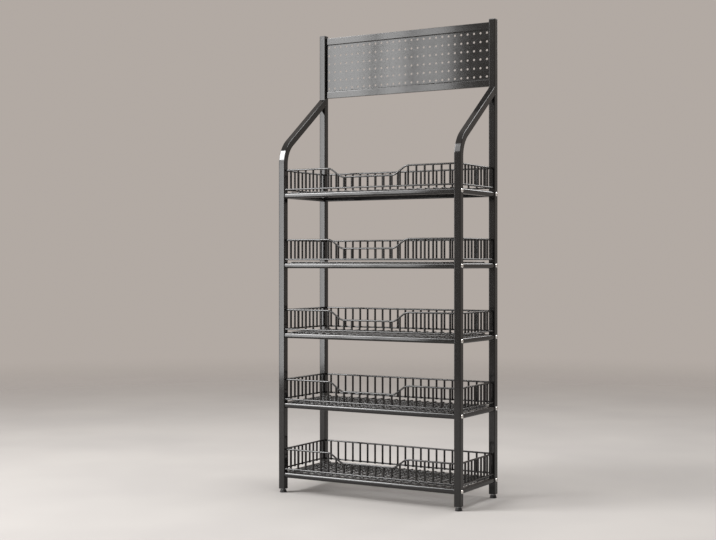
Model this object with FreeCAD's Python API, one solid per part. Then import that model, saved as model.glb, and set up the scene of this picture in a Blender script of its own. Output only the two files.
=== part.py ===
import FreeCAD, Part
import math
import os

# Overall sizes in millimetres: X across the front, Y towards the wall, Z up from the floor
rack_width = 750.0
rack_depth = 313.0
rack_height = 1745.0

# Square tubes: the four posts, and the lighter rails between them
post_size = 25.0
post_corner = 2.0
post_wall = 1.5
rail_size = 20.0
rail_corner = 1.6
rail_wall = 1.2

# Tiers, counted from the floor, measured to the middle of the rails and evenly spaced
tier_count = 5
first_tier_height = 66.0
space_over_top_tier = 639.0

# Front posts: a vertical leg, one bend, and a brace that runs back to the rear post
brace_angle = 36.5
brace_below_panel = 21.0
bend_radius = 105.0

# Wire guards: heights above the rail's middle; the wire is drawn four-sided, sized across its flats
rim_height = 95.0
dip_height = 62.0
lower_wire_height = 23.0
dip_top_half = 156.0
dip_floor_half = 110.0
dip_bend_radius = 40.0
rim_wire = 6.8
lower_wire = 5.6
upright_wire = 6.6
floor_wire = 4.0
wire_sides = 4
long_wire_count = 21
side_wire_count = 10
weld_gap = 0.4

# Peg panel between the rear posts
panel_height = 235.0
panel_below_top = 10.0
panel_sheet = 1.0
panel_setback = 9.5
panel_step = 2.2
panel_lip = 13.0
panel_band = 25.0
peg_columns = 27
peg_rows = 6
peg_end_margin = 12.0
peg_edge_margin = 10.3
peg_hole = 7.4
peg_sides = 4

# Rail bolts, their nuts in the rail ends, and the panel's screws
bolt_dia = 6.0
bolt_clearance = 0.3
bolt_head = 12.0
bolt_head_top = 7.5
bolt_head_height = 4.5
bolt_grip = 12.0
bolt_sides = 6
nut_length = 14.0
nut_clearance = 0.1
screw_dia = 4.0
screw_head = 8.0
screw_head_height = 2.6
screw_length = 9.0
screw_inset = 45.0
screw_setback = 6.0

# Levelling feet, their threaded inserts, and the caps on the rear posts
foot_dia = 26.0
foot_shoulder_dia = 21.0
foot_rim_height = 5.0
foot_height = 11.0
collar_flats = 13.0
collar_height = 2.7
stud_dia = 8.0
stud_length = 34.0
stud_clearance = 0.3
foot_stop_gap = 0.3
foot_sides = 16
stud_sides = 10
insert_flange = 2.0
insert_depth = 20.0
cap_flange = 3.0
cap_depth = 15.0
plug_clearance = 0.1

# Places worked out from the sizes above
X = FreeCAD.Vector(1, 0, 0)
Y = FreeCAD.Vector(0, 1, 0)
Z = FreeCAD.Vector(0, 0, 1)
post_x = (rack_width - post_size) / 2
post_y = (rack_depth - post_size) / 2
gap_x = post_x - post_size / 2
gap_y = post_y - post_size / 2
post_bottom = foot_height + collar_height + foot_stop_gap + insert_flange
post_top = rack_height - cap_flange
panel_top = rack_height - panel_below_top
panel_bottom = panel_top - panel_height
brace_meets_at = panel_bottom - brace_below_panel
tier_pitch = (rack_height - space_over_top_tier - first_tier_height) / (tier_count - 1)
tier_heights = [first_tier_height + tier_pitch * tier for tier in range(tier_count)]
long_places = [post_x * (2 * wire / (long_wire_count + 1) - 1) for wire in range(1, long_wire_count + 1)]
side_places = [post_y * (2 * wire / (side_wire_count + 1) - 1) for wire in range(1, side_wire_count + 1)]
sides = {"left": -1, "right": 1}
ends = {"front": -1, "rear": 1}


def ring(centre, across, upward, count, flats, turn):
    """Corner points of a regular polygon, turned from the across direction by a number of degrees."""
    reach = flats / 2 / math.cos(math.pi / count)
    corners = []
    for corner in range(count):
        angle = math.radians(turn + 360.0 * corner / count)
        corners.append(centre + across * (reach * math.cos(angle)) + upward * (reach * math.sin(angle)))
    return corners


def loop(corners):
    """Closed wire through corner points."""
    return Part.makePolygon(corners + corners[:1])


def polygon(centre, across, upward, count, flats, turn):
    """Closed wire of a regular polygon."""
    return loop(ring(centre, across, upward, count, flats, turn))


def faceted(rings):
    """Solid with flat faces from each ring of corner points to the next, closed at both ends."""
    faces = [Part.Face(loop(rings[0])), Part.Face(loop(rings[-1]))]
    for near, far in zip(rings, rings[1:]):
        for corner in range(len(near)):
            faces.append(Part.Face(loop([near[corner - 1], near[corner], far[corner], far[corner - 1]])))
    solid = Part.Solid(Part.Shell(faces))
    if solid.Volume < 0:
        solid.reverse()
    return solid


def flat_turn(count):
    """Turn that puts one flat of a polygon square to the upward direction."""
    return 90.0 - 180.0 / count


def prism(start, along, length, across, upward, count, flats):
    """Straight wire or pin with a many-sided section and a flat facing upward."""
    outline = polygon(start, across, upward, count, flats, flat_turn(count))
    return Part.Face(outline).extrude(along * length)


def eased_square(centre, across, upward, size, corner):
    """Closed wire of a square whose corners are cut back."""
    half = size / 2
    flat = half - corner
    outline = [(half, -flat), (half, flat), (flat, half), (-flat, half),
               (-half, flat), (-half, -flat), (-flat, -half), (flat, -half), (half, -flat)]
    return Part.makePolygon([centre + across * a + upward * u for a, u in outline])


def tube(start, along, length, across, upward, size, corner, wall):
    """Straight square tube with eased corners, open from end to end."""
    outer = Part.Face(eased_square(start, across, upward, size, corner))
    inner = Part.Face(polygon(start, across, upward, 4, size - 2 * wall, 45.0))
    return outer.cut(inner).Faces[0].extrude(along * length)


def box_at(centre, size):
    """Box of a given size about its centre."""
    return Part.makeBox(size.x, size.y, size.z, centre - size * 0.5)


def bolt_places(side):
    """Middle of each rail bolt's hole in one side's two posts, at the post's own centre."""
    places = []
    for end in ends.values():
        for height in tier_heights:
            places.append(FreeCAD.Vector(side * post_x, end * post_y, height))
    return places


def bolt_holes(side, end):
    """Holes right through one post for its rail bolts."""
    holes = []
    for place in bolt_places(side):
        if place.y * end > 0:
            start = place - X * post_size
            flats = bolt_dia + 2 * bolt_clearance
            holes.append(prism(start, X, 2 * post_size, Y, Z, bolt_sides, flats))
    return Part.makeCompound(holes)


def screw_places(side):
    """Where the panel's screws enter one rear post's inner face."""
    depth = gap_y + panel_setback + panel_step + screw_setback
    lowest = FreeCAD.Vector(side * gap_x, depth, panel_bottom + screw_inset)
    highest = FreeCAD.Vector(side * gap_x, depth, panel_top - screw_inset)
    return [lowest, highest]


def rear_post(side):
    """Straight rear post with its bolt holes and the panel's screw holes."""
    foot = FreeCAD.Vector(side * post_x, post_y, post_bottom)
    post = tube(foot, Z, post_top - post_bottom, X, Y, post_size, post_corner, post_wall)
    holes = [bolt_holes(side, ends["rear"])]
    for place in screw_places(side):
        start = place - X * (side * screw_length)
        holes.append(prism(start, X * side, 2 * screw_length, Y, Z, bolt_sides, screw_dia))
    return post.cut(holes)


def front_post(side):
    """Front post bent back over the top tier, mitred where it meets the rear post."""
    rise = math.radians(brace_angle)
    run = Y * math.cos(rise) + Z * math.sin(rise)
    corner_height = brace_meets_at - (gap_y + post_y) * math.tan(rise)
    foot = FreeCAD.Vector(side * post_x, -post_y, post_bottom)
    corner = FreeCAD.Vector(side * post_x, -post_y, corner_height)
    turn = math.pi / 2 - rise
    tangent = bend_radius * math.tan(turn / 2)
    bend_start = corner - Z * tangent
    bend_end = corner + run * tangent
    centre = bend_start + Y * bend_radius
    middle = centre + (corner - centre).normalize() * bend_radius
    past_post = corner + run * ((gap_y + 2 * post_size + post_y) / math.cos(rise))
    path = Part.Wire([Part.LineSegment(foot, bend_start).toShape(),
                      Part.Arc(bend_start, middle, bend_end).toShape(),
                      Part.LineSegment(bend_end, past_post).toShape()])
    outer = eased_square(foot, X, Y, post_size, post_corner)
    inner = polygon(foot, X, Y, 4, post_size - 2 * post_wall, 45.0)
    skin = path.makePipeShell([outer], True, False)
    core = path.makePipeShell([inner], True, False)
    behind = box_at(FreeCAD.Vector(side * post_x, gap_y + rack_depth / 2, rack_height),
                    FreeCAD.Vector(2 * post_size, rack_depth, 2 * rack_height))
    return skin.cut([core, behind, bolt_holes(side, ends["front"])])


def long_rail(end, height):
    """Rail between two posts along the front or the rear of a tier."""
    start = FreeCAD.Vector(-gap_x, end * post_y, height)
    return tube(start, X, 2 * gap_x, Y, Z, rail_size, rail_corner, rail_wall)


def side_rail(side, height):
    """Short rail welded between the front and rear post of one side."""
    start = FreeCAD.Vector(side * post_x, -gap_y, height)
    return tube(start, Y, 2 * gap_y, X, Z, rail_size, rail_corner, rail_wall)


def dip_corners(height):
    """Bend points of the front rim's middle line, from its left end to its right end."""
    reach = gap_x - weld_gap
    high = height + rim_height
    low = height + dip_height
    outline = [(-reach, high), (-dip_top_half, high), (-dip_floor_half, low),
               (dip_floor_half, low), (dip_top_half, high), (reach, high)]
    return [FreeCAD.Vector(x, -post_y, z) for x, z in outline]


def bent_line(corners, radius):
    """Points along a wire's middle line, with each corner eased by two chords of an arc."""
    points = [corners[0]]
    for before, corner, after in zip(corners, corners[1:], corners[2:]):
        arriving = (corner - before).normalize()
        leaving = (after - corner).normalize()
        half_turn = arriving.getAngle(leaving) / 2
        tangent = radius * math.tan(half_turn)
        inward = (leaving - arriving).normalize()
        points.append(corner - arriving * tangent)
        points.append(corner + inward * (radius / math.cos(half_turn) - radius))
        points.append(corner + leaving * tangent)
    return points + [corners[-1]]


def dipped_rim(height):
    """Front rim wire with its low stretch for reaching in, mitred at each bend."""
    points = bent_line(dip_corners(height), dip_bend_radius)
    runs = [(after - before).normalize() for before, after in zip(points, points[1:])]
    rings = []
    for index, point in enumerate(points):
        first = runs[max(index - 1, 0)].cross(Y)
        second = runs[min(index, len(runs) - 1)].cross(Y)
        upward = (first + second) * (1 / (1 + first.dot(second)))
        rings.append(ring(point, Y, upward, wire_sides, rim_wire, flat_turn(wire_sides)))
    return faceted(rings)


def upright(place, bottom, top):
    """One upright wire of a guard, between two heights."""
    start = FreeCAD.Vector(place.x, place.y, bottom)
    return prism(start, Z, top - bottom, X, Y, wire_sides, upright_wire)


def guard_level(height):
    """Bottom and top of a full-height upright, which ends level with the lower wire, and that wire's height."""
    lower = height + lower_wire_height
    return lower - lower_wire / 2, height + rim_height - rim_wire / 2, lower


def lower_rail_wire(start, along, length, outward):
    """Wire welded across the outer flats of a guard's uprights."""
    offset = outward * ((upright_wire + lower_wire) / 2)
    return prism(start + offset, along, length, Z, outward, wire_sides, lower_wire)


def front_guard(height):
    """Front guard of a tier: dipped rim, lower wire, and uprights trimmed to the rim."""
    bottom, top, lower = guard_level(height)
    reach = gap_x - weld_gap
    rim = dipped_rim(height)
    wires = [rim, lower_rail_wire(FreeCAD.Vector(-reach, -post_y, lower), X, 2 * reach, Y * -1)]
    for x in long_places:
        foot = FreeCAD.Vector(x, -post_y, 0)
        if abs(x) > dip_top_half + dip_bend_radius / 2:
            wires.append(upright(foot, bottom, top))
        elif abs(x) < dip_floor_half - dip_bend_radius / 2:
            wires.append(upright(foot, bottom, top - rim_height + dip_height))
        else:
            pieces = upright(foot, bottom, top + rim_wire).cut(rim).Solids
            wires.append(min(pieces, key=lambda piece: piece.CenterOfMass.z))
    return wires


def rear_guard(height):
    """Rear guard of a tier: straight rim, lower wire and uprights."""
    bottom, top, lower = guard_level(height)
    reach = gap_x - weld_gap
    rim_start = FreeCAD.Vector(-reach, post_y, height + rim_height)
    wires = [prism(rim_start, X, 2 * reach, Y, Z, wire_sides, rim_wire),
             lower_rail_wire(FreeCAD.Vector(-reach, post_y, lower), X, 2 * reach, Y)]
    for x in long_places:
        wires.append(upright(FreeCAD.Vector(x, post_y, 0), bottom, top))
    return wires


def side_guard(side, height):
    """Side guard of a tier, welded between the front and rear post."""
    bottom, top, lower = guard_level(height)
    rim_start = FreeCAD.Vector(side * post_x, -gap_y, height + rim_height)
    wires = [prism(rim_start, Y, 2 * gap_y, X, Z, wire_sides, rim_wire),
             lower_rail_wire(FreeCAD.Vector(side * post_x, -gap_y, lower), Y, 2 * gap_y, X * side)]
    for y in side_places:
        wires.append(upright(FreeCAD.Vector(side * post_x, y, 0), bottom, top))
    return wires


def floor_grid(height):
    """Wire floor: wires from front to rear on the rails, and cross wires under them."""
    rail_top = height + rail_size / 2
    reach_y = post_y - upright_wire / 2
    reach_x = post_x - rail_size / 2 - weld_gap
    wires = []
    for x in long_places:
        start = FreeCAD.Vector(x, -reach_y, rail_top + floor_wire / 2)
        wires.append(prism(start, Y, 2 * reach_y, X, Z, wire_sides, floor_wire))
    for y in side_places:
        start = FreeCAD.Vector(-reach_x, y, rail_top - floor_wire / 2)
        wires.append(prism(start, X, 2 * reach_x, Y, Z, wire_sides, floor_wire))
    return wires


def folded_sheet(line, thickness, along, length):
    """Sheet folded along a line of (depth, height) points, with its thickness behind the line."""
    normals = []
    for (y0, z0), (y1, z1) in zip(line, line[1:]):
        run = math.hypot(y1 - y0, z1 - z0)
        normals.append(((z1 - z0) / run, -(y1 - y0) / run))
    back = []
    for index, (y, z) in enumerate(line):
        first = normals[max(index - 1, 0)]
        second = normals[min(index, len(normals) - 1)]
        spread = 1 + first[0] * second[0] + first[1] * second[1]
        back.append((y + thickness * (first[0] + second[0]) / spread,
                     z + thickness * (first[1] + second[1]) / spread))
    outline = line + back[::-1] + line[:1]
    start = along * (-length / 2)
    face = Part.Face(Part.makePolygon([start + FreeCAD.Vector(0, y, z) for y, z in outline]))
    return face.extrude(along * length)


def peg_holes(depth):
    """Peg holes of the panel, in rows and columns spread over its field."""
    first_x = peg_end_margin - gap_x
    first_z = panel_bottom + panel_band + panel_step + peg_edge_margin
    pitch_x = -2 * first_x / (peg_columns - 1)
    pitch_z = (panel_bottom + panel_top - 2 * first_z) / (peg_rows - 1)
    holes = []
    for column in range(peg_columns):
        for row in range(peg_rows):
            start = FreeCAD.Vector(first_x + pitch_x * column, depth - panel_sheet, first_z + pitch_z * row)
            holes.append(prism(start, Y, 3 * panel_sheet, X, Z, peg_sides, peg_hole))
    return Part.makeCompound(holes)


def header_panel():
    """Peg panel: a perforated field set back between two flat bands, with lips and end flanges."""
    front = gap_y + panel_setback
    field = front + panel_step
    line = [(front + panel_lip, panel_bottom), (front, panel_bottom),
            (front, panel_bottom + panel_band), (field, panel_bottom + panel_band + panel_step),
            (field, panel_top - panel_band - panel_step), (front, panel_top - panel_band),
            (front, panel_top), (front + panel_lip, panel_top)]
    panel = folded_sheet(line, panel_sheet, X, 2 * gap_x)
    flanges = []
    for side in sides.values():
        low = panel_bottom + panel_band + 2 * panel_step
        high = panel_top - panel_band - 2 * panel_step
        depth = front + panel_lip - field
        centre = FreeCAD.Vector(side * (gap_x - panel_sheet / 2), field + depth / 2, (low + high) / 2)
        flange = box_at(centre, FreeCAD.Vector(panel_sheet, depth, high - low))
        for place in screw_places(side):
            start = place - X * (side * screw_length)
            hole = prism(start, X, 2 * screw_length * side, Y, Z, bolt_sides, screw_dia + bolt_clearance)
            flange = flange.cut(hole)
        flanges.append(flange)
    return panel.fuse(flanges).removeSplitter().cut(peg_holes(field))


def headed_pin(seat, inward, dia, length, head, head_top, head_height):
    """Bolt or screw: a tapered head outside its seat and a plain shank going inward."""
    steps = [(-head_height, head_top), (0, head), (0, dia), (length, dia)]
    rings = []
    for depth, flats in steps:
        rings.append(ring(seat + inward * depth, Y, Z, bolt_sides, flats, flat_turn(bolt_sides)))
    return faceted(rings)


def rail_bolts():
    """Bolts through the posts into the ends of the front and rear rails."""
    bolts = []
    for side in sides.values():
        for place in bolt_places(side):
            seat = place + X * (side * post_size / 2)
            inward = X * -side
            bolts.append(headed_pin(seat, inward, bolt_dia, post_size + bolt_grip,
                                    bolt_head, bolt_head_top, bolt_head_height))
    return bolts


def rail_nuts():
    """Threaded blocks fixed in the rail ends, one for each bolt."""
    nuts = []
    width = rail_size - 2 * rail_wall - 2 * nut_clearance
    for side in sides.values():
        for place in bolt_places(side):
            face = FreeCAD.Vector(side * gap_x, place.y, place.z)
            inward = X * -side
            block = box_at(face + inward * (nut_length / 2), FreeCAD.Vector(nut_length, width, width))
            start = face - inward * nut_length
            bore = prism(start, inward, 3 * nut_length, Y, Z, bolt_sides, bolt_dia + 2 * nut_clearance)
            nuts.append(block.cut(bore))
    return nuts


def panel_screws():
    """Screws from the panel's end flanges into the rear posts."""
    screws = []
    for side in sides.values():
        for place in screw_places(side):
            seat = place - X * (side * panel_sheet)
            screws.append(headed_pin(seat, X * side, screw_dia, screw_length,
                                     screw_head, screw_dia, screw_head_height))
    return screws


def post_cap(side):
    """Plastic cap on a rear post: a flat top and a plug inside the tube."""
    base = FreeCAD.Vector(side * post_x, post_y, post_top)
    flange = Part.Face(eased_square(base, X, Y, post_size, post_corner)).extrude(Z * cap_flange)
    width = post_size - 2 * post_wall - 2 * plug_clearance
    plug = box_at(base - Z * (cap_depth / 2), FreeCAD.Vector(width, width, cap_depth))
    return flange.fuse(plug).removeSplitter()


def foot_inserts():
    """Threaded plugs in the lower ends of the posts, each with a flange under the tube."""
    inserts = []
    width = post_size - 2 * post_wall - 2 * plug_clearance
    for side in sides.values():
        for end in ends.values():
            base = FreeCAD.Vector(side * post_x, end * post_y, post_bottom - insert_flange)
            flange = Part.Face(eased_square(base, X, Y, post_size, post_corner)).extrude(Z * insert_flange)
            plug = box_at(base + Z * ((insert_flange + insert_depth) / 2),
                          FreeCAD.Vector(width, width, insert_flange + insert_depth))
            start = base - Z * insert_depth
            bore = prism(start, Z, 4 * insert_depth, X, Y, stud_sides, stud_dia + 2 * stud_clearance)
            inserts.append(flange.fuse(plug).removeSplitter().cut(bore))
    return inserts


def levelling_foot(side, end):
    """Round foot: a straight rim at the floor, tapering in above it."""
    floor = FreeCAD.Vector(side * post_x, end * post_y, 0)
    levels = [(0, foot_dia), (foot_rim_height, foot_dia), (foot_height, foot_shoulder_dia)]
    return faceted([ring(floor + Z * z, X, Y, foot_sides, dia, 0.0) for z, dia in levels])


def foot_stud(side, end):
    """Stud of a levelling foot, with the hex collar that stops against the insert."""
    seat = FreeCAD.Vector(side * post_x, end * post_y, foot_height)
    collar = prism(seat, Z, collar_height, X, Y, 6, collar_flats)
    stud = prism(seat, Z, stud_length, X, Y, stud_sides, stud_dia)
    return collar.fuse(stud).removeSplitter()


def save(name, shape):
    """Write one node, a solid or a group of separate solids."""
    if isinstance(shape, list):
        shape = Part.makeCompound([solid for piece in shape for solid in piece.Solids])
    shape.exportStep("parts/" + name + ".step")
    print(name, len(shape.Solids), round(shape.Volume), shape.isValid())


os.makedirs("parts", exist_ok=True)

# Side frames, feet and caps
for side_name, side in sides.items():
    save(side_name + "_front_post", front_post(side))
    save(side_name + "_rear_post", rear_post(side))
    save(side_name + "_side_rails", [side_rail(side, height) for height in tier_heights])
    save(side_name + "_post_cap", post_cap(side))
    for end_name, end in ends.items():
        save(side_name + "_" + end_name + "_foot", levelling_foot(side, end))
        save(side_name + "_" + end_name + "_foot_stud", foot_stud(side, end))

# Tiers, numbered from the floor
for tier, height in enumerate(tier_heights, start=1):
    save("front_rail_%d" % tier, long_rail(ends["front"], height))
    save("rear_rail_%d" % tier, long_rail(ends["rear"], height))
    save("front_guard_%d" % tier, front_guard(height))
    save("rear_guard_%d" % tier, rear_guard(height))
    save("left_guard_%d" % tier, side_guard(sides["left"], height))
    save("right_guard_%d" % tier, side_guard(sides["right"], height))
    save("floor_grid_%d" % tier, floor_grid(height))

# Peg panel and fasteners
save("header_panel", header_panel())
save("panel_screws", panel_screws())
save("rail_bolts", rail_bolts())
save("rail_nuts", rail_nuts())
save("foot_inserts", foot_inserts())
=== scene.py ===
import logging
import math
from dataclasses import dataclass
from enum import Enum
from functools import cache
from typing import Any, Iterable, Optional, Sequence

import bmesh
import bpy
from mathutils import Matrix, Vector


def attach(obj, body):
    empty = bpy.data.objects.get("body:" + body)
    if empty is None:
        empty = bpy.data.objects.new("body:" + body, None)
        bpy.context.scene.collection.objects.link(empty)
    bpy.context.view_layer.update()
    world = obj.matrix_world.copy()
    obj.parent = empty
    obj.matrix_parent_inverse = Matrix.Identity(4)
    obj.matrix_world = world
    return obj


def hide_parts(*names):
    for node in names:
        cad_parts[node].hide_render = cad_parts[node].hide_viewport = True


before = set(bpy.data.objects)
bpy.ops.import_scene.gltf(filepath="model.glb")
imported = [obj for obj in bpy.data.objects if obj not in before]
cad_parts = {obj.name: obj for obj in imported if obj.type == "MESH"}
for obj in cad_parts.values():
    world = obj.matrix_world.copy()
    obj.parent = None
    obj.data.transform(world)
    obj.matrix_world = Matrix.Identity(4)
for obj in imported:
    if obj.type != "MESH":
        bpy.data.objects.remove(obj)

LOG = logging.getLogger("snack_rack")
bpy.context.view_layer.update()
RACK_BODY = "rack"
# Distance from a rounded corner to the extra point that keeps the face beside it flat
FLAT_MARGIN = 0.0003

Mesh = bmesh.types.BMesh
Pair = tuple[float, float]
Triple = tuple[float, float, float]
Profile = tuple[Pair, ...]
Constants = tuple[tuple[str, float], ...]


class Side(Enum):
    """Left or right of the rack, seen from the front."""

    LEFT = -1
    RIGHT = 1


class End(Enum):
    """Front or rear of the rack."""

    FRONT = -1
    REAR = 1


class Flank(Enum):
    """The wall of a tier that a wire guard stands on: its turn in degrees, and its place in X and Y."""

    FRONT = (0.0, 0, -1)
    REAR = (180.0, 0, 1)
    LEFT = (-90.0, -1, 0)
    RIGHT = (90.0, 1, 0)


class Axis(Enum):
    """Axis that a stack of outlines runs along."""

    X = 0
    Y = 1
    Z = 2


class NodeMaker:
    """Adds nodes to a tree and feeds their inputs."""

    def __init__(self, tree: bpy.types.NodeTree, prefix: str) -> None:
        """Work in a tree.

        Args:
            tree: Tree to add to.
            prefix: Start of the type names of its own nodes.
        """
        self.tree = tree
        self.prefix = prefix

    def feed(self, socket: Any, value: Any) -> None:
        """Link an input to an output, or set its value.

        Args:
            socket: Input to feed.
            value: Output socket or plain value.
        """
        if isinstance(value, bpy.types.NodeSocket):
            self.tree.links.new(value, socket)
        else:
            socket.default_value = value

    def add(self, kind: str, sockets: Optional[dict[Any, Any]] = None, **settings: Any) -> Any:
        """Add a node.

        Args:
            kind: Node type, without its prefix where it is one of the tree's own.
            sockets: Values or links for its inputs, by name or number.
            settings: Properties of the node itself.

        Returns:
            The node.
        """
        node = self.tree.nodes.new(kind if kind.startswith("ShaderNode") else self.prefix + kind)
        for label, value in settings.items():
            setattr(node, label, value)
        for label, value in (sockets or {}).items():
            self.feed(node.inputs[label], value)
        return node

    def get(self, *kind: Any, **settings: Any) -> Any:
        """First output of a new node, described as for add."""
        return self.add(*kind, **settings).outputs[0]


@dataclass(frozen=True)
class Grain:
    """Noise in a finish: features per metre, octaves of finer noise and the scale along each axis."""

    scale: float
    detail: float = 2.0
    stretch: Triple = (1.0, 1.0, 1.0)


class Paint(NodeMaker):
    """Builds a node material around one Principled shader."""

    # Levels of the noise between which the colour and the roughness change
    colour_span: Pair = (0.35, 0.65)
    roughness_span: Pair = (0.3, 0.7)

    def __init__(self, name: str) -> None:
        """Start a material.

        Args:
            name: Name of the material.
        """
        self.material = bpy.data.materials.new(name)
        self.material.use_nodes = True
        super().__init__(self.material.node_tree, "ShaderNode")
        self.shader = self.tree.nodes["Principled BSDF"]
        self.coords = self.add("TexCoord").outputs["Object"]

    def set(self, values: dict[str, Any]) -> None:
        """Set or link the shader's own sockets by name."""
        for label, value in values.items():
            self.feed(self.shader.inputs[label], value)

    def noise(self, grain: Grain) -> Any:
        """Value of a grain's noise on object coordinates."""
        place = self.get("Mapping", {"Vector": self.coords, "Scale": grain.stretch})
        return self.get("TexNoise", {"Vector": place, "Scale": grain.scale, "Detail": grain.detail})

    def span(self, value: Any, source: Pair, target: Pair, kind: str = "LINEAR") -> Any:
        """Value moved from one span to another."""
        return self.get("MapRange", {"Value": value, "From Min": source[0], "From Max": source[1],
                                     "To Min": target[0], "To Max": target[1]}, interpolation_type=kind)

    def blend(self, grain: Grain, colours: tuple[Triple, Triple]) -> None:
        """Vary the base colour between two colours.

        Args:
            grain: Grain that picks between them.
            colours: Colours at the low and the high end.
        """
        ramp = self.add("ValToRGB", {"Fac": self.noise(grain)})
        for number, colour in enumerate(colours):
            ramp.color_ramp.elements[number].position = self.colour_span[number]
            ramp.color_ramp.elements[number].color = (*colour, 1.0)
        self.set({"Base Color": ramp.outputs["Color"]})

    def vary_roughness(self, grain: Grain, ends: Pair) -> None:
        """Vary the roughness between two values."""
        self.set({"Roughness": self.span(self.noise(grain), self.roughness_span, ends)})

    def bump(self, grain: Grain, strength: float, depth: float) -> None:
        """Raise the surface a little, with the share that shows and its height in metres."""
        height = self.noise(grain)
        self.set({"Normal": self.get("Bump", {"Height": height, "Strength": strength, "Distance": depth})})

    def fade(self, near: float, far: float) -> None:
        """Let the surface fade out between two distances from the origin."""
        length = self.add("VectorMath", {0: self.coords}, operation="LENGTH").outputs["Value"]
        self.set({"Alpha": self.span(length, (near, far), (1.0, 0.0), "SMOOTHSTEP")})


@dataclass(frozen=True)
class Finish:
    """A finish whose colour, roughness and fine relief each vary with a grain of their own."""

    name: str
    slot: str
    colours: tuple[Triple, Triple]
    roughness: Pair
    tone: Grain
    gloss: Grain
    relief: Grain
    strength: float
    depth: float
    shader: Constants

    @cache
    def material(self) -> bpy.types.Material:
        """Make the finish's material, once.

        Returns:
            The material.
        """
        paint = Paint(self.name)
        paint.set(dict(self.shader))
        paint.blend(self.tone, self.colours)
        paint.vary_roughness(self.gloss, self.roughness)
        paint.bump(self.relief, self.strength, self.depth)
        return paint.material


@dataclass(frozen=True)
class PowderCoat(Finish):
    """Dark semi-gloss powder coat with a faint orange peel."""

    tone: Grain = Grain(5.0, 3.0)
    gloss: Grain = Grain(38.0, 4.0)
    relief: Grain = Grain(1100.0, 1.0)
    strength: float = 0.008
    depth: float = 0.00025
    shader: Constants = (("IOR", 1.5), ("Specular IOR Level", 0.42))


@dataclass(frozen=True)
class PlatedSteel(Finish):
    """Plated steel of the fasteners, with fine turning marks."""

    tone: Grain = Grain(260.0)
    gloss: Grain = Grain(900.0, 2.0, (1.0, 6.0, 1.0))
    relief: Grain = Grain(2600.0, 1.0, (1.0, 8.0, 1.0))
    strength: float = 0.08
    depth: float = 0.0001
    shader: Constants = (("Metallic", 1.0),)


@dataclass(frozen=True)
class MouldedPlastic(Finish):
    """Black moulded plastic with a fine matt grain."""

    tone: Grain = Grain(90.0, 3.0)
    gloss: Grain = Grain(300.0)
    relief: Grain = Grain(2400.0)
    strength: float = 0.30
    depth: float = 0.0002
    shader: Constants = (("IOR", 1.48),)


@dataclass(frozen=True)
class Finishes:
    """The rack's finishes."""

    coat: Finish = PowderCoat("powder_coat_gunmetal", "powder_coat",
                              ((0.0070, 0.0067, 0.0065), (0.0100, 0.0096, 0.0094)), (0.075, 0.105))
    plastic: Finish = MouldedPlastic("black_moulded_plastic", "black_plastic",
                                     ((0.012, 0.012, 0.013), (0.022, 0.022, 0.023)), (0.46, 0.60))
    bright: Finish = PlatedSteel("bright_nickel_plate", "bright_steel",
                                 ((0.74, 0.73, 0.71), (0.86, 0.85, 0.83)), (0.16, 0.26))
    zinc: Finish = PlatedSteel("dull_zinc_plate", "zinc_steel",
                               ((0.42, 0.43, 0.44), (0.56, 0.57, 0.58)), (0.34, 0.48))


def circle(radius: float, count: int, turn: float = 0.0) -> list[Pair]:
    """Points round a circle, the first turned by a share of one step."""
    angles = [2 * math.pi * (step + turn) / count for step in range(count)]
    return [(radius * math.cos(angle), radius * math.sin(angle)) for angle in angles]


def rounded_square(half: float, radius: float, steps: int = 5) -> list[Pair]:
    """Points round a square with rounded corners, and one on the flat beside each end of a corner.

    Args:
        half: Half of the square's width.
        radius: Corner radius.
        steps: Chords in each corner.

    Returns:
        Points in order, as pairs.
    """
    flat = half - radius
    shy = flat - FLAT_MARGIN
    arc = [math.radians(90.0 * step / steps) for step in range(steps + 1)]
    bend = [(flat + radius * math.cos(angle), flat + radius * math.sin(angle)) for angle in arc]
    points = []
    for corner in range(4):
        for x, y in [(half, shy), *bend, (shy, half)]:
            points.append(((x, y), (-y, x), (-x, -y), (y, -x))[corner])
    return points


def stack(place: Vector, axis: Axis, layers: Iterable[tuple[Sequence[Pair], float]]) -> list[list[Vector]]:
    """Rings of points from outlines and their levels along an axis, measured from a place."""
    at = axis.value
    return [[place + Vector((*point[:at], level, *point[at:])) for point in outline]
            for outline, level in layers]


def stitch(mesh: Mesh, rings: Sequence[Sequence[Vector]], closed: bool = True) -> list[list[Any]]:
    """Wall of four-sided faces through rings of points.

    Args:
        mesh: Mesh to add to.
        rings: Rings with the same number of points each.
        closed: Whether the last ring meets the first, as in a wall with a bore or a bead.

    Returns:
        The vertices of each ring.
    """
    rows = [[mesh.verts.new(point) for point in ring] for ring in rings]
    for index in range(0 if closed else 1, len(rows)):
        near, far = rows[index - 1], rows[index]
        for step in range(len(near)):
            mesh.faces.new((near[step - 1], near[step], far[step], far[step - 1]))
    return rows


def skin(rings: Sequence[Sequence[Vector]], mesh: Optional[Mesh] = None) -> Mesh:
    """Closed surface through rings of points, capped at both ends.

    Args:
        rings: Rings with the same number of points each.
        mesh: Mesh to add to, or none for a new one.

    Returns:
        The mesh that holds the surface.
    """
    mesh = mesh or bmesh.new()
    rows = stitch(mesh, rings, closed=False)
    mesh.faces.new(rows[0])
    mesh.faces.new(rows[-1])
    return mesh


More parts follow.
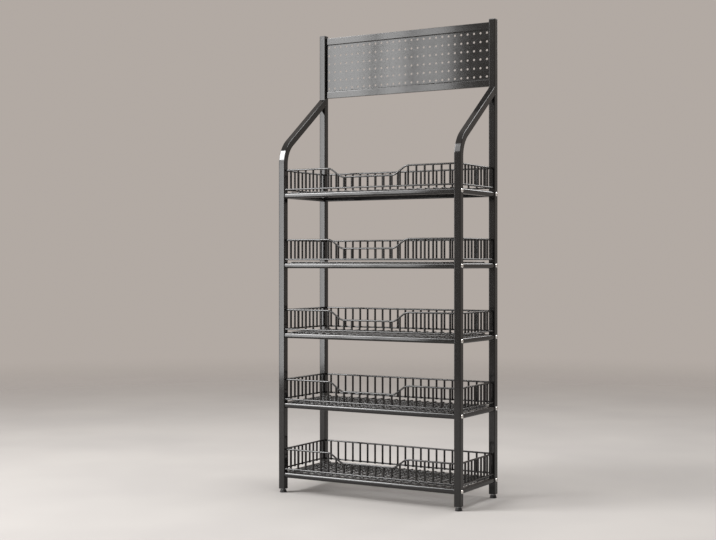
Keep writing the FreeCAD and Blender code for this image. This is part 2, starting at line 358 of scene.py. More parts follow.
def lathe(profile: Iterable[Pair], base: Vector, sides: int, mesh: Optional[Mesh] = None,
          ribs: float = 0.0) -> Mesh:
    """Turned piece about an upright axis.

    Args:
        profile: Radius and height pairs from the bottom up.
        base: Point on the axis at height zero.
        sides: Points round each ring.
        mesh: Mesh to add to, or none for a new one.
        ribs: Depth of grip ribs, taken off every other pair of points.

    Returns:
        The mesh that holds the piece.
    """
    layers = []
    for radius, height in profile:
        inner, outer = circle(radius - ribs, sides), circle(radius, sides)
        layers.append(([(inner if step % 4 < 2 else outer)[step] for step in range(sides)], height))
    return skin(stack(base, Axis.Z, layers), mesh)


def to_object(name: str, mesh: Mesh) -> bpy.types.Object:
    """Turn a working mesh into a scene object at the origin, with its faces pointing outwards.

    Args:
        name: Name of the piece.
        mesh: Working mesh, which is freed.

    Returns:
        The new object.
    """
    bmesh.ops.recalc_face_normals(mesh, faces=mesh.faces)
    data = bpy.data.meshes.new(name)
    mesh.to_mesh(data)
    mesh.free()
    piece = bpy.data.objects.new(name, data)
    bpy.context.scene.collection.objects.link(piece)
    return piece


def fit_out(piece: bpy.types.Object, finish: Finish, nodes: Sequence[str], body: str = RACK_BODY,
            crease: float = 40.0) -> None:
    """Give a finished mesh its material, smooth shading, body and place in the part.

    Args:
        piece: The object.
        finish: Finish that covers it.
        nodes: Solids that the piece stands for.
        body: Body that it moves with.
        crease: Edges sharper than this many degrees stay sharp.
    """
    piece.data.materials.clear()
    piece.data.materials.append(finish.material())
    piece.data.shade_smooth()
    piece.data.set_sharp_from_angle(angle=math.radians(crease))
    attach(piece, body)
    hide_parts(*nodes)
    LOG.info("%s on %s, %d faces", piece.name, body, len(piece.data.polygons))


class NodeTree(NodeMaker):
    """A Geometry Nodes tree with named inputs, run for each piece to give a plain mesh."""

    def __init__(self, name: str, **inputs: Sequence[str]) -> None:
        """Start a tree, which also has an input for its finish.

        Args:
            name: Name of the tree.
            inputs: Names of its input sockets by their kind.
        """
        super().__init__(bpy.data.node_groups.new(name, "GeometryNodeTree"), "GeometryNode")
        panel = self.tree.interface
        panel.new_socket("Geometry", in_out="OUTPUT", socket_type="NodeSocketGeometry")
        self.sockets = {}
        for kind, labels in {**inputs, "Material": ("Finish",)}.items():
            for label in labels:
                socket = panel.new_socket(label, in_out="INPUT", socket_type="NodeSocket" + kind)
                self.sockets[label] = socket.identifier
        self.given = self.tree.nodes.new("NodeGroupInput")

    def __getitem__(self, label: str) -> Any:
        """Value of a named input."""
        return self.given.outputs[label]

    def sum(self, kind: str, first: Any, second: Any = 0.0, clamp: bool = False) -> Any:
        """Result of one arithmetic node."""
        return self.get("ShaderNodeMath", {0: first, 1: second}, operation=kind, use_clamp=clamp)

    def point(self, x: Any = 0.0, y: Any = 0.0, z: Any = 0.0) -> Any:
        """Vector made of three values."""
        return self.get("ShaderNodeCombineXYZ", {0: x, 1: y, 2: z})

    def across(self) -> Any:
        """Place of each point along X."""
        return self.get("ShaderNodeSeparateXYZ", {0: self.get("InputPosition")})

    def pick(self, values: Sequence[Any]) -> Any:
        """Value for each point by its number.

        Args:
            values: Values in the order of the points.

        Returns:
            The picked value.
        """
        node = self.add("IndexSwitch", data_type="FLOAT")
        while len(node.index_switch_items) < len(values):
            node.index_switch_items.new()
        for socket, value in zip(node.inputs, [self.get("InputIndex"), *values]):
            self.feed(socket, value)
        return node.outputs[0]

    def row(self, count: Any, step: Any, middle: Any, piece: Any, **placing: Any) -> Any:
        """Row of equal pieces.

        Args:
            count: How many.
            step: Vector from one to the next.
            middle: Middle of the row.
            piece: Piece to repeat.
            placing: Turn or scale of each piece.

        Returns:
            The pieces as instances.
        """
        share = self.sum("MULTIPLY", self.sum("SUBTRACT", count, 1.0), -0.5)
        back = self.get("ShaderNodeVectorMath", {0: step, "Scale": share}, operation="SCALE")
        start = self.get("ShaderNodeVectorMath", {0: back, 1: middle}, operation="ADD")
        line = self.get("MeshLine", {"Count": count, "Start Location": start, "Offset": step}, mode="OFFSET")
        return self.get("InstanceOnPoints", {"Points": line, "Instance": piece, **placing})

    def join(self, *parts: Any) -> Any:
        """Several geometries as one.

        Args:
            parts: The geometries.

        Returns:
            The joined geometry.
        """
        node = self.add("JoinGeometry")
        for part in parts:
            self.feed(node.inputs[0], part)
        return node.outputs[0]

    def close(self, geometry: Any) -> None:
        """End the tree in real geometry with its material.

        Args:
            geometry: What the tree has made.
        """
        real = self.get("RealizeInstances", {0: geometry})
        dressed = self.get("SetMaterial", {"Geometry": real, "Material": self["Finish"]})
        self.feed(self.tree.nodes.new("NodeGroupOutput").inputs[0], dressed)

    def run(self, name: str, finish: Finish, values: dict[str, Any]) -> bpy.types.Object:
        """Run the tree with these inputs.

        Args:
            name: Name of the piece to make.
            finish: Finish of the piece.
            values: Input values by name.

        Returns:
            An object at the origin with a plain mesh.
        """
        piece = bpy.data.objects.new(name, bpy.data.meshes.new(name + "_seed"))
        bpy.context.scene.collection.objects.link(piece)
        modifier = piece.modifiers.new(self.tree.name, "NODES")
        modifier.node_group = self.tree
        for label, value in {**values, "Finish": finish.material()}.items():
            modifier[self.sockets[label]] = value
        graph = bpy.context.evaluated_depsgraph_get()
        made = bpy.data.meshes.new_from_object(piece.evaluated_get(graph))
        made.name = name
        piece.modifiers.remove(modifier)
        piece.data = made
        return piece


@dataclass
class RackSizes:
    """Sizes shared by the sub-assemblies, in metres, in the part's own frame."""

    post_x: float = 0.3625
    post_y: float = 0.144
    post: float = 0.025
    post_corner: float = 0.0024
    post_bottom: float = 0.016
    post_top: float = 1.742
    plug_rounding: float = 0.001
    rail: float = 0.020
    rail_corner: float = 0.0068
    tiers: tuple[float, ...] = (0.066, 0.326, 0.586, 0.846, 1.106)
    long_count: int = 21
    side_count: int = 10
    clearance: float = 0.0004

    @property
    def gap_x(self) -> float:
        """Half of the clear width between the posts."""
        return self.post_x - self.post / 2

    @property
    def gap_y(self) -> float:
        """Half of the clear depth between the posts."""
        return self.post_y - self.post / 2

    def post_outline(self, inset: float = 0.0) -> list[Pair]:
        """Outline of a post, or of a plug that is set in from the post's faces."""
        return rounded_square(self.post / 2 - inset, self.post_corner - min(inset, self.plug_rounding))


@dataclass
class Assembly:
    """A sub-assembly, with the sizes and finishes that the whole rack shares."""

    sizes: RackSizes
    finishes: Finishes


@dataclass
class SideFrame(Assembly):
    """One welded side of the rack: a straight rear post, a bent front post, side rails and a cap.

    The cap's profile is given as insets from the post's faces and heights above its end.
    """

    side: Side
    brace_angle: float = 36.5
    brace_meets_at: float = 1.479
    bend_radius: float = 0.105
    bend_steps: int = 20
    bead: float = 0.0011
    bead_sides: int = 6
    bead_swell: float = 0.22
    bead_ripple: float = 2.4
    cap_profile: Profile = ((0.0016, -0.015), (0.0016, 0.0), (0.0, 0.0), (0.0, 0.0014), (0.0004, 0.0023),
                            (0.0012, 0.0028), (0.0030, 0.003))

    @property
    def name(self) -> str:
        """Left or right, for names."""
        return self.side.name.lower()

    def build(self) -> None:
        """Make and dress every piece of this side."""
        self.rear_post()
        self.front_post()
        self.side_rails()
        self.cap()

    def rear_post(self) -> None:
        """Straight rear post."""
        s = self.sizes
        place = Vector((self.side.value * s.post_x, s.post_y, 0.0))
        rings = stack(place, Axis.Z, [(s.post_outline(), level) for level in (s.post_bottom, s.post_top)])
        fit_out(to_object(self.name + "_rear_upright", skin(rings)), self.finishes.coat,
                [self.name + "_rear_post"])

    def bend_line(self) -> list[tuple[Vector, Vector]]:
        """Middle line of the front post.

        Returns:
            Points along the line, each with its direction.
        """
        s = self.sizes
        rise = math.radians(self.brace_angle)
        run = Vector((0.0, math.cos(rise), math.sin(rise)))
        corner = Vector((self.side.value * s.post_x, -s.post_y,
                         self.brace_meets_at - (s.gap_y + s.post_y) * math.tan(rise)))
        turn = math.pi / 2 - rise
        start = corner - Vector((0, 0, 1)) * self.bend_radius * math.tan(turn / 2)
        centre = start + Vector((0, self.bend_radius, 0))
        line = [(Vector((corner.x, corner.y, s.post_bottom)), Vector((0, 0, 1)))]
        for step in range(self.bend_steps + 1):
            angle = turn * step / self.bend_steps
            point = centre + Vector((0, -math.cos(angle), math.sin(angle))) * self.bend_radius
            line.append((point, Vector((0, math.sin(angle), math.cos(angle)))))
        line.append((corner + run * ((s.gap_y - corner.y) / run.y), run))
        return line

    def front_post(self) -> None:
        """Front post, bent back and mitred on the rear post, with its weld."""
        rings = []
        for point, run in self.bend_line():
            outward = Vector((0, -run.z, run.y))
            rings.append([point + Vector((a, 0, 0)) + outward * b for a, b in self.sizes.post_outline()])
        # The brace's end is cut along its own direction to the rear post's face
        rings[-1] = [corner + run * ((self.sizes.gap_y - corner.y) / run.y) for corner in rings[-1]]
        mesh = skin(rings)
        self.weld(mesh, rings[-1])
        fit_out(to_object(self.name + "_front_upright_and_brace", mesh), self.finishes.coat,
                [self.name + "_front_post"])

    def weld(self, mesh: Mesh, outline: Sequence[Vector]) -> None:
        """Weld bead round a tube's end.

        Args:
            mesh: Mesh to add the bead to.
            outline: Points of the tube's end, in the plane that it is welded to.
        """
        middle = sum(outline, Vector()) / len(outline)
        rows = []
        for index, point in enumerate(outline):
            outward = (point - middle).normalized()
            swell = self.bead * (1.0 + self.bead_swell * math.sin(index * self.bead_ripple))
            rows.append([point + outward * a - Vector((0, b, 0)) for a, b in circle(swell, self.bead_sides)])
        stitch(mesh, rows)

    def side_rails(self) -> None:
        """Side rails of every tier."""
        s = self.sizes
        mesh = bmesh.new()
        outline = rounded_square(s.rail / 2, s.rail_corner)
        for height in s.tiers:
            centre = Vector((self.side.value * s.post_x, 0.0, height))
            skin(stack(centre, Axis.Y, [(outline, level) for level in (-s.gap_y, s.gap_y)]), mesh)
        fit_out(to_object(self.name + "_cross_rails", mesh), self.finishes.coat, [self.name + "_side_rails"])

    def cap(self) -> None:
        """Plastic cap on the rear post, softened at its upper edge."""
        s = self.sizes
        place = Vector((self.side.value * s.post_x, s.post_y, s.post_top))
        rings = stack(place, Axis.Z, [(s.post_outline(inset), height) for inset, height in self.cap_profile])
        fit_out(to_object(self.name + "_top_cap", skin(rings)), self.finishes.plastic,
                [self.name + "_post_cap"])


@dataclass
class Rails(Assembly):
    """Front and rear rails, bolted between the side frames, with the threaded blocks in their ends."""

    rear_corner: float = 0.003
    block_half: float = 0.0082
    block_corner: float = 0.0052
    block_length: float = 0.014
    block_bore: float = 0.0031

    def build(self) -> None:
        """Make and dress the rails of every tier and their blocks."""
        s = self.sizes
        for end in End:
            name = end.name.lower()
            outline = rounded_square(s.rail / 2, s.rail_corner if end is End.FRONT else self.rear_corner)
            for tier, height in enumerate(s.tiers, start=1):
                centre = Vector((0.0, end.value * s.post_y, height))
                rings = stack(centre, Axis.X, [(outline, level) for level in (-s.gap_x, s.gap_x)])
                fit_out(to_object(f"{name}_tube_{tier}", skin(rings)), self.finishes.coat,
                        [f"{name}_rail_{tier}"])
        self.blocks()

    def blocks(self) -> None:
        """Threaded blocks for the bolts, inside the rail ends."""
        s = self.sizes
        mesh = bmesh.new()
        outline = rounded_square(self.block_half, self.block_corner)
        hole = circle(self.block_bore, len(outline), turn=0.5)
        for side in Side:
            near, far = side.value * s.gap_x, side.value * (s.gap_x - self.block_length)
            layers = ((outline, near), (outline, far), (hole, far), (hole, near))
            for end in End:
                for height in s.tiers:
                    stitch(mesh, stack(Vector((0.0, end.value * s.post_y, height)), Axis.X, layers))
        fit_out(to_object("rail_end_blocks", mesh), self.finishes.zinc, ["rail_nuts"])


@dataclass
class WireGuards(Assembly):
    """Wire guards on all four sides of each tier, made by one tree."""

    rim_height: float = 0.095
    dip_drop: float = 0.033
    dip_top: float = 0.156
    dip_floor: float = 0.110
    bend_radius: float = 0.040
    bend_points: int = 7
    rim_radius: float = 0.0033
    upright_radius: float = 0.0038
    lower_radius: float = 0.0030
    lower_height: float = 0.023
    lower_offset: float = 0.0061
    wire_sides: int = 12

    def tree(self) -> NodeTree:
        """Tree of one guard, standing across the X axis with its outer face towards -Y.

        Returns:
            The tree.
        """
        t = NodeTree("wire_guard", Int=("Count",), Vector=("Place",), Float=(
            "Reach", "Pitch", "Foot", "Rim Height", "Dip Drop", "Dip Top", "Dip Floor", "Bend Radius",
            "Rim Radius", "Upright Radius", "Lower Radius", "Lower Height", "Lower Offset", "Turn"))
        wires = t.join(self.uprights(t), self.rim(t), self.lower(t))
        t.close(t.get("Transform", {"Geometry": wires, "Translation": t["Place"],
                                    "Rotation": t.point(z=t["Turn"])}))
        return t

    def uprights(self, t: NodeTree) -> Any:
        """Upright wires from the lower wire up, each as tall as the rim over it.

        Args:
            t: Tree to add to.

        Returns:
            The wires as instances.
        """
        inside = t.sum("SUBTRACT", t["Dip Top"], t.sum("ABSOLUTE", t.across()))
        slope = t.sum("SUBTRACT", t["Dip Top"], t["Dip Floor"])
        drop = t.sum("MULTIPLY", t.sum("DIVIDE", inside, slope, clamp=True), t["Dip Drop"])
        full = t.sum("SUBTRACT", t["Rim Height"], t["Foot"])
        wire = t.get("MeshCylinder", {"Vertices": self.wire_sides, "Radius": t["Upright Radius"],
                                      "Depth": 1.0}, fill_type="NGON")
        stood = t.get("Transform", {"Geometry": wire, "Translation": (0.0, 0.0, 0.5)})
        size = t.point(1.0, 1.0, t.sum("SUBTRACT", full, drop))
        return t.row(t["Count"], t.point(t["Pitch"]), t.point(z=t["Foot"]), stood, Scale=size)

    def rim(self, t: NodeTree) -> Any:
        """Rim wire along a bent line with rounded bends.

        Args:
            t: Tree to add to.

        Returns:
            The wire.
        """
        right = [t["Dip Floor"], t["Dip Top"], t["Reach"]]
        left = [t.sum("MULTIPLY", value, -1.0) for value in reversed(right)]
        high = t["Rim Height"]
        low = t.sum("SUBTRACT", high, t["Dip Drop"])
        bends = t.point(t.pick(left + right), 0.0, t.pick([high, high, low, low, high, high]))
        line = t.get("MeshLine", {"Count": len(left + right)})
        curve = t.get("MeshToCurve", {0: t.get("SetPosition", {"Geometry": line, "Position": bends})})
        eased = t.get("FilletCurve", {"Curve": curve, "Count": self.bend_points, "Radius": t["Bend Radius"],
                                      "Limit Radius": True}, mode="POLY")
        return self.sweep(t, eased, t["Rim Radius"])

    def lower(self, t: NodeTree) -> Any:
        """Lower wire across the outside of the uprights.

        Args:
            t: Tree to add to.

        Returns:
            The wire.
        """
        out, level = t.sum("MULTIPLY", t["Lower Offset"], -1.0), t["Lower Height"]
        start = t.point(t.sum("MULTIPLY", t["Reach"], -1.0), out, level)
        line = t.get("CurvePrimitiveLine", {"Start": start, "End": t.point(t["Reach"], out, level)})
        return self.sweep(t, line, t["Lower Radius"])

    def sweep(self, t: NodeTree, curve: Any, radius: Any) -> Any:
        """Round wire along a curve."""
        ring = t.get("CurvePrimitiveCircle", {"Resolution": self.wire_sides, "Radius": radius})
        return t.get("CurveToMesh", {"Curve": curve, "Profile Curve": ring, "Fill Caps": True})

    def build(self) -> None:
        """Make and dress the guards of every tier."""
        s = self.sizes
        tree = self.tree()
        for tier, height in enumerate(s.tiers, start=1):
            for flank in Flank:
                name = flank.name.lower()
                turn, x, y = flank.value
                lengthwise = x == 0
                count = s.long_count if lengthwise else s.side_count
                span = s.post_x if lengthwise else s.post_y
                # Only the front rim drops, and the others keep their bends on a straight line
                piece = tree.run(f"{name}_wires_{tier}", self.finishes.coat, {
                    "Reach": s.gap_x - s.clearance if lengthwise else s.gap_y,
                    "Count": count, "Pitch": 2 * span / (count + 1), "Rim Height": self.rim_height,
                    "Foot": self.lower_height - self.lower_radius,
                    "Dip Drop": self.dip_drop if flank is Flank.FRONT else 0.0,
                    "Dip Top": self.dip_top if lengthwise else s.gap_y / 2,
                    "Dip Floor": self.dip_floor if lengthwise else s.gap_y / 3,
                    "Bend Radius": self.bend_radius, "Rim Radius": self.rim_radius,
                    "Upright Radius": self.upright_radius, "Lower Radius": self.lower_radius,
                    "Lower Height": self.lower_height, "Lower Offset": self.lower_offset,
                    "Turn": math.radians(turn), "Place": (x * s.post_x, y * s.post_y, height)})
                fit_out(piece, self.finishes.coat, [f"{name}_guard_{tier}"])


@dataclass
class WireFloors(Assembly):
    """Wire floor of each tier: wires from front to rear on the rails, and cross wires under them."""

    radius: float = 0.0022
    upright: float = 0.0066
    wire_sides: int = 10

    def tree(self) -> NodeTree:
        """Tree of one floor about the middle of its tier.

        Returns:
            The tree.
        """
        t = NodeTree("wire_floor", Int=("Long Count", "Cross Count"), Float=(
            "Long Pitch", "Long Length", "Cross Pitch", "Cross Length", "Wire Radius", "Height"))
        quarter = math.pi / 2
        rows = []
        for label, level, step, turn in (
                ("Long", "ADD", t.point(t["Long Pitch"]), (quarter, 0.0, 0.0)),
                ("Cross", "SUBTRACT", t.point(0.0, t["Cross Pitch"]), (0.0, quarter, 0.0))):
            wire = t.get("MeshCylinder", {"Vertices": self.wire_sides, "Radius": t["Wire Radius"],
                                          "Depth": t[label + " Length"]}, fill_type="NGON")
            middle = t.point(z=t.sum(level, t["Height"], t["Wire Radius"]))
            rows.append(t.row(t[label + " Count"], step, middle, wire, Rotation=turn))
        t.close(t.join(*rows))
        return t

    def build(self) -> None:
        """Make and dress the floors of every tier."""
        s = self.sizes
        tree = self.tree()
        for tier, height in enumerate(s.tiers, start=1):
            piece = tree.run(f"floor_wires_{tier}", self.finishes.coat, {
                "Long Count": s.long_count, "Long Pitch": 2 * s.post_x / (s.long_count + 1),
                "Long Length": 2 * (s.post_y - self.upright / 2),
                "Cross Count": s.side_count, "Cross Pitch": 2 * s.post_y / (s.side_count + 1),
                "Cross Length": 2 * (s.post_x - s.rail / 2 - s.clearance),
                "Wire Radius": self.radius, "Height": height + s.rail / 2})
            fit_out(piece, self.finishes.coat, [f"floor_grid_{tier}"])


@dataclass
class PegPanel(Assembly):
    """Folded and perforated panel at the head of the rack."""

    bottom: float = 1.500
    top: float = 1.735
    sheet: float = 0.001
    front: float = 0.141
    step: float = 0.0022
    band: float = 0.025
    lip: float = 0.013
    fold: float = 0.0012
    fold_steps: int = 4
    columns: int = 27
    rows: int = 6
    end_margin: float = 0.012
    edge_margin: float = 0.0103
    hole_radius: float = 0.0042
    hole_sides: int = 16
    merge_within: float = 0.00001
    screw_setback: float = 0.006
    screw_inset: float = 0.045

    def field_tree(self) -> NodeTree:
        """Tree of the perforated field, facing -Y about its own middle.

        Returns:
            The tree.
        """
        t = NodeTree("perforated_field", Int=("Columns", "Rows"), Vector=("Place",), Float=(
            "Width", "Height", "Grid Width", "Grid Height", "Hole Radius", "Sheet"))
        edge = t.get("CurvePrimitiveQuadrilateral", {"Width": t["Width"], "Height": t["Height"]})
        grid = t.get("MeshGrid", {"Size X": t["Grid Width"], "Size Y": t["Grid Height"],
                                  "Vertices X": t["Columns"], "Vertices Y": t["Rows"]})
        hole = t.get("CurvePrimitiveCircle", {"Resolution": self.hole_sides, "Radius": t["Hole Radius"]})
        holes = t.get("InstanceOnPoints", {"Points": grid, "Instance": hole})
        face = t.get("FillCurve", {0: t.join(edge, t.get("RealizeInstances", {0: holes}))})
        back = t.point(z=t.sum("MULTIPLY", t["Sheet"], -1.0))
        raised = t.get("ExtrudeMesh", {"Mesh": t.get("FlipFaces", {0: face}), "Offset": back,
                                       "Offset Scale": 1.0, "Individual": False}, mode="FACES")
        plate = t.get("MergeByDistance", {"Geometry": t.join(face, raised), "Distance": self.merge_within})
        t.close(t.get("Transform", {"Geometry": plate, "Translation": t["Place"],
                                    "Rotation": (math.pi / 2, 0.0, 0.0)}))
        return t

    def fold_line(self, line: Sequence[Pair]) -> list[Vector]:
        """Fold line with each corner rounded.

        Args:
            line: Depth and height pairs.

        Returns:
            The rounded line.
        """
        points = [Vector(line[0])]
        for before, corner, after in zip(line, line[1:], line[2:]):
            here = Vector(corner)
            arriving = (Vector(before) - here).normalized()
            leaving = (Vector(after) - here).normalized()
            points.append(here + arriving * (self.fold + FLAT_MARGIN))
            for step in range(self.fold_steps + 1):
                share = step / self.fold_steps
                bend = arriving * (1 - share) ** 2 + leaving * share ** 2
                points.append(here + bend * self.fold)
            points.append(here + leaving * (self.fold + FLAT_MARGIN))
        return [*points, Vector(line[-1])]

    def strip(self, mesh: Mesh, line: Sequence[Vector]) -> None:
        """Folded strip of sheet between the posts.

        Args:
            mesh: Mesh to add to.
            line: Front line of the strip, as depths and heights.
        """
        back = []
        for before, here, after in zip([line[0], *line], line, [*line[1:], line[-1]]):
            run = (after - before).normalized()
            back.append(here + Vector((run.y, -run.x)) * self.sheet)
        outline = [*line, *reversed(back)]
        ends = (-self.sizes.gap_x, self.sizes.gap_x)
        skin(stack(Vector(), Axis.X, [(outline, level) for level in ends]), mesh)

    def build(self) -> None:
        """Make and dress the panel."""
        reach = self.sizes.gap_x
        depth, rear = self.front + self.step, self.front + self.lip
        low, high = self.bottom + self.band + self.step, self.top - self.band - self.step
        mesh = bmesh.new()
        lower = [(rear, self.bottom), (self.front, self.bottom), (self.front, self.bottom + self.band),
                 (depth, low), (depth, low + self.fold)]
        upper = [(depth, high - self.fold), (depth, high), (self.front, self.top - self.band),
                 (self.front, self.top), (rear, self.top)]
        for line in (lower, upper):
            self.strip(mesh, self.fold_line(line))
        flange = [(depth, low + self.step), (depth, high - self.step),
                  (rear, high - self.step), (rear, low + self.step)]
        for side in Side:
            edges = (side.value * (reach - self.sheet), side.value * reach)
            skin(stack(Vector(), Axis.X, [(flange, level) for level in edges]), mesh)
        folds = to_object("panel_folds", mesh)
        perforated = self.field_tree().run("perforated_panel", self.finishes.coat, {
            "Width": 2 * reach, "Height": high - low - 2 * self.fold,
            "Columns": self.columns, "Rows": self.rows, "Grid Width": 2 * (reach - self.end_margin),
            "Grid Height": high - low - 2 * self.edge_margin, "Hole Radius": self.hole_radius,
            "Sheet": self.sheet, "Place": (0.0, depth, (low + high) / 2)})
        merged = bmesh.new()
        for part in (folds, perforated):
            merged.from_mesh(part.data)
            bpy.data.objects.remove(part)
        fit_out(to_object("perforated_header", merged), self.finishes.coat, ["header_panel"], crease=30.0)


@dataclass(frozen=True)
class DomedHead:
    """Domed head with a hex socket, standing on its seat.

    The undercut is a share of the radius, the rim and the socket's floor are shares of the height, and the
    land and the lip about the socket are given in socket radii.
    """

    radius: float
    height: float
    socket: float
    sides: int = 24
    dome_steps: int = 6
    undercut: float = 0.80
    rim: float = 0.18
    land: float = 1.15
    lip: float = 1.12
    floor: float = 0.35

    def hexagon(self) -> list[Pair]:
        """Outline of the socket.

        Returns:
            As many points as each ring of the head has.
        """
        sixth, points = math.pi / 3, []
        for x, y in circle(self.socket, self.sides):
            off_flat = abs(math.atan2(y, x) % sixth - sixth / 2)
            share = math.cos(sixth / 2) / math.cos(off_flat)
            points.append((x * share, y * share))
        return points

    def build(self) -> bpy.types.Object:
        """Make the head.

        Returns:
            A working object.
        """
        rim, land = self.height * self.rim, self.socket * self.land
        profile = [(self.radius * self.undercut, 0.0), (self.radius, 0.0), (self.radius, rim)]
        for step in range(1, self.dome_steps):
            angle = math.pi / 2 * step / self.dome_steps
            profile.append((land + (self.radius - land) * math.cos(angle),
                            rim + (self.height - rim) * math.sin(angle)))
        profile.append((self.socket * self.lip, self.height))
        layers = [(circle(radius, self.sides), level) for radius, level in profile]
        layers += [(self.hexagon(), level) for level in (self.height, self.height * self.floor)]
        return to_object("head_pattern", skin(stack(Vector(), Axis.Z, layers)))


@dataclass
class Fasteners(Assembly):
    """Rail bolts and panel screws, set on their seats by one tree."""

    bolt: DomedHead = DomedHead(0.0074, 0.0045, 0.0023)
    screw: DomedHead = DomedHead(0.004, 0.0026, 0.0016)

    def tree(self) -> NodeTree:
        """Tree that stands one head on each seat, facing along X away from or towards the middle.

        Returns:
            The tree.
        """
        t = NodeTree("seated_heads", Object=("Seats", "Head"), Float=("Facing",))
        seats, head = (t.add("ObjectInfo", {"Object": t[label]}).outputs["Geometry"]
                       for label in ("Seats", "Head"))
        quarter = t.sum("MULTIPLY", t["Facing"], math.pi / 2)
        turn = t.point(y=t.sum("MULTIPLY", t.sum("SIGN", t.across()), quarter))
        t.close(t.get("InstanceOnPoints", {"Points": seats, "Instance": head, "Rotation": turn}))
        return t

    def build(self, panel: PegPanel) -> None:
        """Make and dress every fastener that shows, the bolts facing outwards and the screws inwards.

        Args:
            panel: Panel that the screws hold.
        """
        s = self.sizes
        outer, inner = s.post_x + s.post / 2, s.gap_x - panel.sheet
        depth = panel.front + panel.step + panel.screw_setback
        heights = (panel.bottom + panel.screw_inset, panel.top - panel.screw_inset)
        bolts = [(side.value * outer, end.value * s.post_y, z)
                 for side in Side for end in End for z in s.tiers]
        screws = [(side.value * inner, depth, z) for side in Side for z in heights]
        tree = self.tree()
        for name, node, seats, head, facing, finish in (
                ("rail_bolt_heads", "rail_bolts", bolts, self.bolt, 1.0, self.finishes.bright),
                ("panel_screw_heads", "panel_screws", screws, self.screw, -1.0, self.finishes.zinc)):
            mesh = bmesh.new()
            for seat in seats:
                mesh.verts.new(seat)
            working = {"Seats": to_object("seats", mesh), "Head": head.build()}
            piece = tree.run(name, finish, {**working, "Facing": facing})
            for pattern in working.values():
                bpy.data.objects.remove(pattern)
            fit_out(piece, finish, [node], crease=35.0)


@dataclass
class LevellingFoot(Assembly):
    """One levelling foot: a ribbed round base and a threaded stud with a hex collar.

    The tread, the grip, the shoulder and the collar are given as radii and heights above the floor.
    """

    side: Side
    end: End
    tread: Profile = ((0.0115, 0.0), (0.0126, 0.0004), (0.0130, 0.0012), (0.0130, 0.0026))
    grip: Profile = ((0.0120, 0.0026), (0.0122, 0.0030), (0.0118, 0.0070), (0.0108, 0.0092))
    shoulder: Profile = ((0.0104, 0.0090), (0.0100, 0.0102), (0.0088, 0.0108), (0.0072, 0.0110))
    collar: Profile = ((0.006956, 0.0110), (0.0074, 0.0114), (0.0074, 0.0133), (0.006956, 0.0137))
    rib_depth: float = 0.0005
    base_sides: int = 64
    collar_sides: int = 6
    stud_sides: int = 20
    stud_radius: float = 0.004
    root_radius: float = 0.0034
    tip_radius: float = 0.0028
    stud_top: float = 0.045
    pitch: float = 0.00125

    @property
    def name(self) -> str:
        """Name of the foot's corner."""
        return f"{self.side.name}_{self.end.name}".lower()

    def build(self) -> None:
        """Make and dress the base and the stud."""
        place = Vector((self.side.value * self.sizes.post_x, self.end.value * self.sizes.post_y, 0.0))
        mesh = bmesh.new()
        for profile, ribs in ((self.tread, 0.0), (self.grip, self.rib_depth), (self.shoulder, 0.0)):
            lathe(profile, place, self.base_sides, mesh, ribs)
        fit_out(to_object(self.name + "_foot_base", mesh), self.finishes.plastic,
                [self.name + "_foot"], self.name + "_levelling_foot")
        stud = lathe(self.collar, place, self.collar_sides)
        lathe(self.thread(), place, self.stud_sides, stud)
        fit_out(to_object(self.name + "_foot_thread", stud), self.finishes.zinc,
                [self.name + "_foot_stud"], self.name + "_levelling_foot", crease=50.0)

    def thread(self) -> list[Pair]:
        """Profile of the stud with its thread, as a column of ridges.

        Returns:
            Radius and height pairs from the collar up.
        """
        height = self.collar[-1][1]
        profile = [(self.root_radius, height)]
        while height + self.pitch < self.stud_top:
            profile += [(self.stud_radius, height + self.pitch / 2), (self.root_radius, height + self.pitch)]
            height += self.pitch
        return [*profile, (self.tip_radius, self.stud_top)]


@dataclass
class PostPlugs(Assembly):
    """Plastic plugs in the lower ends of the posts, each with a flange under the tube.

    The profile is given as insets from the post's faces and heights above the post's end.
    """

    profile: Profile = ((0.0008, -0.002), (0.0, -0.0014), (0.0, 0.0), (0.0017, 0.0), (0.0017, 0.020))
    bore: float = 0.0043

    def build(self) -> None:
        """Make and dress the four plugs as one piece."""
        s = self.sizes
        mesh = bmesh.new()
        layers = [(s.post_outline(inset), height) for inset, height in self.profile]
        hole = circle(self.bore, len(s.post_outline()), turn=0.5)
        layers += [(hole, self.profile[-1][1]), (hole, self.profile[0][1])]
        for side in Side:
            for end in End:
                place = Vector((side.value * s.post_x, end.value * s.post_y, s.post_bottom))
                stitch(mesh, stack(place, Axis.Z, layers))
        fit_out(to_object("post_end_plugs", mesh), self.finishes.plastic, ["foot_inserts"])


@dataclass(frozen=True)
class Softbox:
    """One soft area lamp: where it stands, the point that it faces, its width and height, and its watts."""

    name: str
    place: Sequence[float]
    aim: Sequence[float]
    size: Pair
    power: float

    def build(self) -> None:
        """Hang the lamp."""
        data = bpy.data.lights.new(self.name, "AREA")
        data.shape = "RECTANGLE"
        data.size, data.size_y = self.size
        data.energy = self.power
        lamp = bpy.data.objects.new(self.name, data)
        lamp.location = self.place
        lamp.rotation_euler = (Vector(self.aim) - Vector(self.place)).to_track_quat("-Z", "Y").to_euler()
        bpy.context.scene.collection.objects.link(lamp)


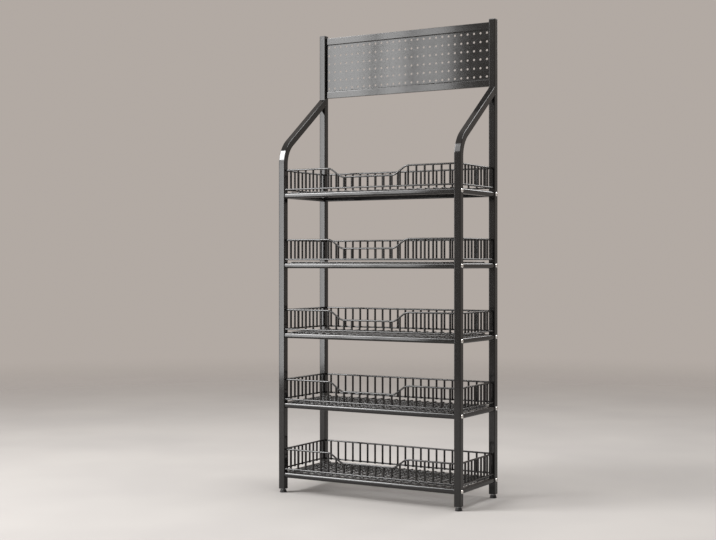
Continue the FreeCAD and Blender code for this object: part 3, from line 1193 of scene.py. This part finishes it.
@dataclass
class Studio:
    """Pale floor, soft light and the camera.

    Each softbox of the front bank has its two ends along the bank, and its glow in watts per square metre.
    """

    lens: float = 65.2
    sensor: float = 36.0
    shift_y: float = -0.0099
    camera_at: Triple = (2.318, -4.187, 0.856)
    camera_turn: float = 30.25
    surroundings: Triple = (0.445, 0.40, 0.367)
    floor_colours: tuple[Triple, Triple] = ((0.312, 0.300, 0.291), (0.338, 0.325, 0.313))
    floor_roughness: float = 0.75
    floor_grain: Grain = Grain(1.5)
    floor_solid: float = 1.6
    floor_reach: float = 7.5
    bank_middle: Triple = (-3.28, -4.55, 1.53)
    bank_height: float = 3.04
    bank: tuple[Triple, ...] = ((-1.135, 0.02, 16.0), (0.02, 0.395, 27.6), (0.46, 0.70, 27.4),
                                (0.765, 1.08, 20.8))
    softboxes: tuple[Softbox, ...] = (
        Softbox("softbox_upper_left", (-2.986, -2.954, 3.7), (-0.136, 0.126, 1.0), (1.77, 2.2), 340.0),
        Softbox("softbox_upper_front", (-1.804, -3.753, 4.036), (1.046, -0.673, 1.336), (1.05, 2.2), 35.0),
        Softbox("softbox_back_right", (1.15, 3.7, 2.8), (0.375, 0.0, 1.0), (0.8, 1.3), 24.0),
        Softbox("softbox_overhead", (0.6, 0.0, 4.6), (0.6, 0.0, 0.0), (2.6, 3.0), 200.0))

    def build(self) -> None:
        """Set the scene."""
        bpy.context.scene.view_settings.view_transform = "Standard"
        self.world()
        self.floor()
        self.front_bank()
        for softbox in self.softboxes:
            softbox.build()
        self.camera()

    def world(self) -> None:
        """Even pale surroundings."""
        world = bpy.data.worlds.new("studio")
        world.use_nodes = True
        background = world.node_tree.nodes["Background"]
        background.inputs["Color"].default_value = (*self.surroundings, 1.0)
        background.inputs["Strength"].default_value = 1.0
        bpy.context.scene.world = world

    def floor(self) -> None:
        """Wide pale floor that fades into the surroundings."""
        mesh = bmesh.new()
        reach = self.floor_reach
        corners = [(-reach, -reach, 0.0), (reach, -reach, 0.0), (reach, reach, 0.0), (-reach, reach, 0.0)]
        mesh.faces.new([mesh.verts.new(corner) for corner in corners])
        floor = to_object("studio_floor", mesh)
        paint = Paint("studio_floor_pale")
        paint.set({"Roughness": self.floor_roughness})
        paint.blend(self.floor_grain, self.floor_colours)
        paint.fade(self.floor_solid, reach)
        floor.data.materials.append(paint.material)

    def front_bank(self) -> None:
        """Tall softboxes side by side at the front left, with gaps that show as bands in the panel."""
        middle = Vector(self.bank_middle)
        facing = Vector((-middle.x, -middle.y, 0.0)).normalized()
        across = Vector((facing.y, -facing.x, 0.0))
        for number, (start, end, glow) in enumerate(self.bank):
            place = middle + across * (start + end) / 2
            size = (end - start, self.bank_height)
            power = glow * size[0] * size[1]
            Softbox(f"softbox_front_{number}", place, place + facing, size, power).build()

    def camera(self) -> None:
        """Camera at the photograph's viewing angle."""
        data = bpy.data.cameras.new("front_right_view")
        data.lens = self.lens
        data.sensor_width = self.sensor
        data.shift_y = self.shift_y
        camera = bpy.data.objects.new("front_right_view", data)
        camera.location = self.camera_at
        camera.rotation_euler = (math.pi / 2, 0.0, math.radians(self.camera_turn))
        bpy.context.scene.collection.objects.link(camera)
        bpy.context.scene.camera = camera


def main() -> None:
    """Build the rack's pieces in order and set the studio."""
    logging.basicConfig(level=logging.INFO, format="%(message)s")
    sizes = RackSizes()
    finishes = Finishes()
    for side in Side:
        SideFrame(sizes, finishes, side).build()
    Rails(sizes, finishes).build()
    WireGuards(sizes, finishes).build()
    WireFloors(sizes, finishes).build()
    panel = PegPanel(sizes, finishes)
    panel.build()
    Fasteners(sizes, finishes).build(panel)
    PostPlugs(sizes, finishes).build()
    for side in Side:
        for end in End:
            LevellingFoot(sizes, finishes, side, end).build()
    Studio().build()


if __name__ == "__main__":
    main()
